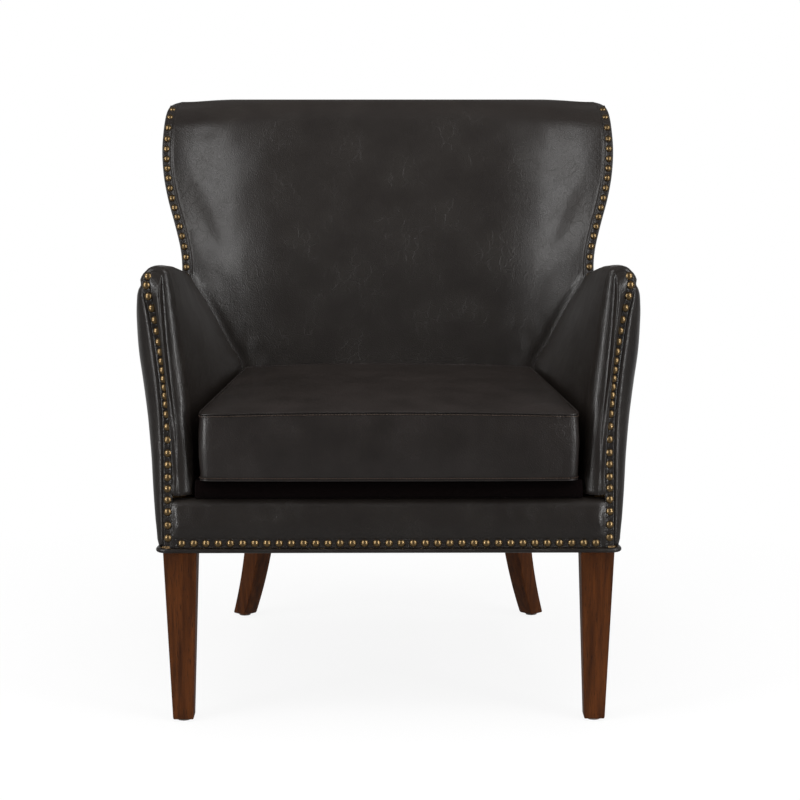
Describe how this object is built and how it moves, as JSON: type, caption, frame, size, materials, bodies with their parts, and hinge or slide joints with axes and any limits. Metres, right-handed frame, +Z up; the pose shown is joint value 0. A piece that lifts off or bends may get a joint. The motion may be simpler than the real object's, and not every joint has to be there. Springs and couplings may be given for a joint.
{
  "type": "wingback armchair",
  "caption": "Wingback armchair with padded leather back, wings and arms, a loose box seat cushion, nail-head trim and tapered wooden legs.",
  "frame": {"origin": "on the floor, under the middle of the chair's bounding box", "axes": "+X to the right seen from in front, +Y to the back, +Z up"},
  "size_m": [0.755, 0.76, 0.902],
  "materials": {
    "leather": "glossy dark espresso bonded leather with fine creases",
    "foam": "open-cell polyurethane foam",
    "timber": "planed hardwood, unfinished",
    "walnut": "walnut-stained hardwood under satin lacquer",
    "brass": "antiqued brass nail heads on a narrow leather band",
    "steel": "plain spring and bolt steel",
    "nylon": "moulded nylon glide",
    "lining": "black non-woven lining cloth",
    "webbing": "woven jute webbing and felt"
  },
  "bodies": {
    "cushion": {"seat_cushion_cover": "leather", "seat_cushion_foam": "foam", "cushion_zip": "lining"},
    "chair": {"back_crest_rail": "timber", "back_lower_rail": "timber", "back_rail": "timber", "back_webbing_1": "webbing", "back_webbing_2": "webbing", "back_webbing_3": "webbing", "base_welt": "leather", "dust_cover": "lining", "front_border": "leather", "front_nail_band": "brass", "front_rail": "timber", "inside_back_pad": "leather", "left_arm_nail_band": "brass", "left_arm_pad": "leather", "left_arm_post": "timber", "left_arm_rail": "timber", "left_back_post": "timber", "left_front_bolt": "steel", "left_front_corner_block": "timber", "left_front_glide": "nylon", "left_front_leg": "walnut", "left_outer_arm_panel": "leather", "left_outer_wing_panel": "leather", "left_rear_bolt": "steel", "left_rear_corner_block": "timber", "left_rear_glide": "nylon", "left_rear_leg": "walnut", "left_side_rail": "timber", "left_wing_frame": "timber", "left_wing_nail_band": "brass", "outer_back_panel": "leather", "right_arm_nail_band": "brass", "right_arm_pad": "leather", "right_arm_post": "timber", "right_arm_rail": "timber", "right_back_post": "timber", "right_front_bolt": "steel", "right_front_corner_block": "timber", "right_front_glide": "nylon", "right_front_leg": "walnut", "right_outer_arm_panel": "leather", "right_outer_wing_panel": "leather", "right_rear_bolt": "steel", "right_rear_corner_block": "timber", "right_rear_glide": "nylon", "right_rear_leg": "walnut", "right_side_rail": "timber", "right_wing_frame": "timber", "right_wing_nail_band": "brass", "seat_deck": "lining", "seat_insulator": "webbing", "seat_spring_1": "steel", "seat_spring_2": "steel", "seat_spring_3": "steel", "seat_spring_4": "steel", "spring_tie_wire": "steel"}
  },
  "joints": [
    {"name": "seat_cushion_lift", "type": "slide", "parent": "chair", "child": "cushion", "axis": [0, 0, 1], "range_m": [0, 0.3]}
  ]
}
